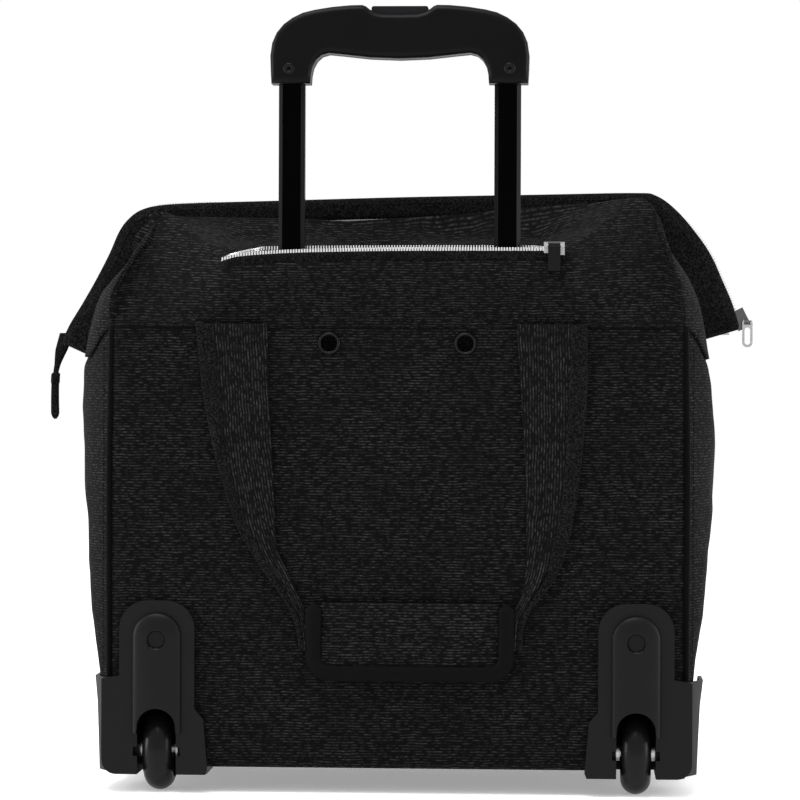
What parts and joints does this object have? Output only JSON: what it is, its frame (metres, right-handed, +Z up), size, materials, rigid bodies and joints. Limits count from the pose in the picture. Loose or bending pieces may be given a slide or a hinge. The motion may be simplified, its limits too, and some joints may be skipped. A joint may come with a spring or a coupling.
{
  "type": "rolling pilot case",
  "caption": "Soft rolling pilot case: spring-frame zip mouth, telescopic trolley grip with release button, rear wheels, front feet, padded carry handles.",
  "frame": {"origin": "on the floor, under the middle of the case", "axes": "+Z up; -Y out of the rear side, which carries the trolley handle and wheels; +X to the right as seen from behind"},
  "size_m": [0.496, 0.236, 0.534],
  "materials": {
    "slub_fabric": "woven, with short raised dashes",
    "band_fabric": "brushed, soft",
    "lining_fabric": "plain weave",
    "stiffener": "plain sheet",
    "piping": "tight tubular cord",
    "spring_steel": "plain",
    "plated_steel": "zinc plated",
    "zip_metal": "bright nickel",
    "slider_black": "black enamel",
    "raw_aluminium": "extruded",
    "black_aluminium": "black anodised",
    "moulded_plastic": "satin",
    "housing_plastic": "satin",
    "grip_plastic": "satin",
    "hub_plastic": "moulded",
    "tyre_rubber": "smooth",
    "eyelet_metal": "dark nickel",
    "wrap_fabric": "woven, padded"
  },
  "bodies": {
    "case": {"rear_panel": "slub_fabric", "rear_board": "stiffener", "front_panel": "slub_fabric", "front_board": "stiffener", "left_gusset": "slub_fabric", "right_gusset": "slub_fabric", "base_panel": "band_fabric", "base_board": "stiffener", "rear_piping": "piping", "front_piping": "piping", "rear_top_panel": "slub_fabric", "front_top_panel": "slub_fabric", "trolley_pocket_wall": "lining_fabric", "mouth_frame_hinges": "plated_steel", "trolley_zip_front_row": "zip_metal", "trolley_zip_back_row": "zip_metal", "trolley_foot_bracket": "plated_steel", "trolley_tube_clamp": "moulded_plastic", "outer_tubes": "raw_aluminium", "outer_tube_collars": "moulded_plastic", "left_wheel_housing": "housing_plastic", "right_wheel_housing": "housing_plastic", "housing_screws": "slider_black", "wheel_axles": "plated_steel", "axle_washers": "plated_steel", "left_front_foot": "moulded_plastic", "right_front_foot": "moulded_plastic", "rear_eyelets": "eyelet_metal", "side_seams": "piping"},
    "rear_mouth": {"rear_mouth_band": "band_fabric", "rear_mouth_frame": "spring_steel", "rear_mouth_zip_row": "zip_metal", "mouth_zip_tail_tab": "band_fabric"},
    "front_mouth": {"front_mouth_band": "band_fabric", "front_mouth_frame": "spring_steel", "front_mouth_zip_row": "zip_metal"},
    "mouth_slider": {"mouth_zip_slider": "slider_black"},
    "mouth_pull_ring": {"mouth_zip_pull_ring": "zip_metal"},
    "trolley_slider": {"trolley_zip_slider": "slider_black"},
    "trolley_puller": {"trolley_zip_puller": "slider_black"},
    "handle_middle": {"middle_tubes": "black_aluminium", "middle_tube_bushings": "moulded_plastic"},
    "handle_inner": {"inner_tubes": "black_aluminium", "inner_tube_plugs": "moulded_plastic", "grip_rear_shell": "grip_plastic", "grip_front_shell": "grip_plastic", "grip_screws": "slider_black", "release_springs": "spring_steel"},
    "release_button": {"release_button": "grip_plastic", "release_rods": "plated_steel"},
    "left_wheel": {"left_wheel_hub": "hub_plastic", "left_tyre": "tyre_rubber", "left_wheel_bearings": "plated_steel"},
    "right_wheel": {"right_wheel_hub": "hub_plastic", "right_tyre": "tyre_rubber", "right_wheel_bearings": "plated_steel"},
    "rear_handle": {"rear_handle_straps": "slub_fabric", "rear_handle_wrap": "wrap_fabric"},
    "front_handle": {"front_handle_straps": "slub_fabric", "front_handle_wrap": "wrap_fabric"}
  },
  "joints": [
    {"name": "trolley_middle_slide", "type": "slide", "parent": "case", "child": "handle_middle", "axis": [0, 0, 1], "range_m": [0, 0.25]},
    {"name": "trolley_inner_slide", "type": "slide", "parent": "handle_middle", "child": "handle_inner", "axis": [0, 0, 1], "range_m": [-0.165, 0.085]},
    {"name": "release_button_press", "type": "slide", "parent": "handle_inner", "child": "release_button", "axis": [0, 0, -1], "range_m": [0, 0.004], "stiffness_N_per_m": 1200, "springref_m": -0.002, "deforming": ["release_springs"]},
    {"name": "left_wheel_spin", "type": "hinge", "parent": "case", "child": "left_wheel", "pos_m": [-0.1615, -0.088, 0.028], "axis": [1, 0, 0], "continuous": true},
    {"name": "right_wheel_spin", "type": "hinge", "parent": "case", "child": "right_wheel", "pos_m": [0.1615, -0.088, 0.028], "axis": [1, 0, 0], "continuous": true},
    {"name": "rear_handle_swing", "type": "hinge", "parent": "case", "child": "rear_handle", "pos_m": [0, -0.1094, 0.315], "axis": [-1, 0, 0], "range_deg": [0, 150]},
    {"name": "front_handle_swing", "type": "hinge", "parent": "case", "child": "front_handle", "pos_m": [0, 0.1094, 0.315], "axis": [1, 0, 0], "range_deg": [0, 170]},
    {"name": "rear_mouth_open", "type": "hinge", "parent": "case", "child": "rear_mouth", "pos_m": [0, 0, 0.2975], "axis": [1, 0, 0], "range_deg": [0, 30], "deforming": ["rear_top_panel", "rear_mouth_zip_row"]},
    {"name": "front_mouth_open", "type": "hinge", "parent": "case", "child": "front_mouth", "pos_m": [0, 0, 0.2975], "axis": [-1, 0, 0], "range_deg": [0, 70], "deforming": ["front_top_panel", "front_mouth_zip_row"]},
    {"name": "mouth_slider_run", "type": "slide", "parent": "rear_mouth", "child": "mouth_slider", "axis": [-0.4473, 0, 0.8944], "range_m": [0, 0.045]},
    {"name": "mouth_ring_swing", "type": "hinge", "parent": "mouth_slider", "child": "mouth_pull_ring", "pos_m": [0.23982, -0.0086, 0.32131], "axis": [-1, 0, 0], "range_deg": [0, 120]},
    {"name": "trolley_slider_run", "type": "slide", "parent": "case", "child": "trolley_slider", "axis": [1, 0, 0], "range_m": [-0.008, 0.008], "deforming": ["trolley_zip_front_row", "trolley_zip_back_row"]},
    {"name": "trolley_puller_swing", "type": "hinge", "parent": "trolley_slider", "child": "trolley_puller", "pos_m": [0.1085, -0.1064, 0.3705], "axis": [-1, 0, 0], "range_deg": [0, 120]}
  ]
}
